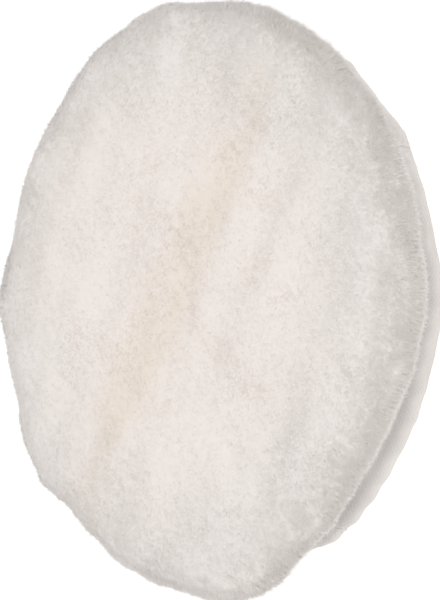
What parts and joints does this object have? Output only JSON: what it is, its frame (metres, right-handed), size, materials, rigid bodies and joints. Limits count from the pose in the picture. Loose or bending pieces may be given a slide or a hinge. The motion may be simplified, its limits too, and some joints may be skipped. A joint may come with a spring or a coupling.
{
  "type": "polishing bonnet",
  "caption": "Round lambswool polishing bonnet: shorn wool pile on its hide, bound at the rim to a gathered cotton skirt with an elastic hem that grips a polisher's backing pad.",
  "frame": {"origin": "centre of the ground that the bonnet rests on, under the disc's axis, when it lies wool up on its turned-under skirt", "axes": "+Z is the disc's axis and points out of the wool face; X and Y lie in the ground, and the disc is round, so they are alike"},
  "size_m": [0.2158, 0.2158, 0.0421],
  "materials": {
    "wool": "shorn lambswool pile, warm off-white",
    "hide": "sueded flesh side of tanned sheepskin",
    "canvas": "plain-woven grey-white cotton",
    "cotton_tape": "grey-white cotton twill tape",
    "thread": "twisted polyester sewing thread",
    "elastic": "woven white elastic tape"
  },
  "bodies": {
    "root": {"wool_pile": "wool", "sheepskin_hide": "hide", "rim_binding": "cotton_tape", "rim_stitching": "thread", "skirt_panel_1": "canvas", "skirt_panel_2": "canvas", "skirt_panel_3": "canvas", "skirt_panel_4": "canvas", "panel_seam_1": "thread", "panel_seam_2": "thread", "panel_seam_3": "thread", "panel_seam_4": "thread", "hem_casing": "cotton_tape", "hem_stitching": "thread", "elastic_band": "elastic", "elastic_join_stitch": "thread"}
  },
  "joints": []
}
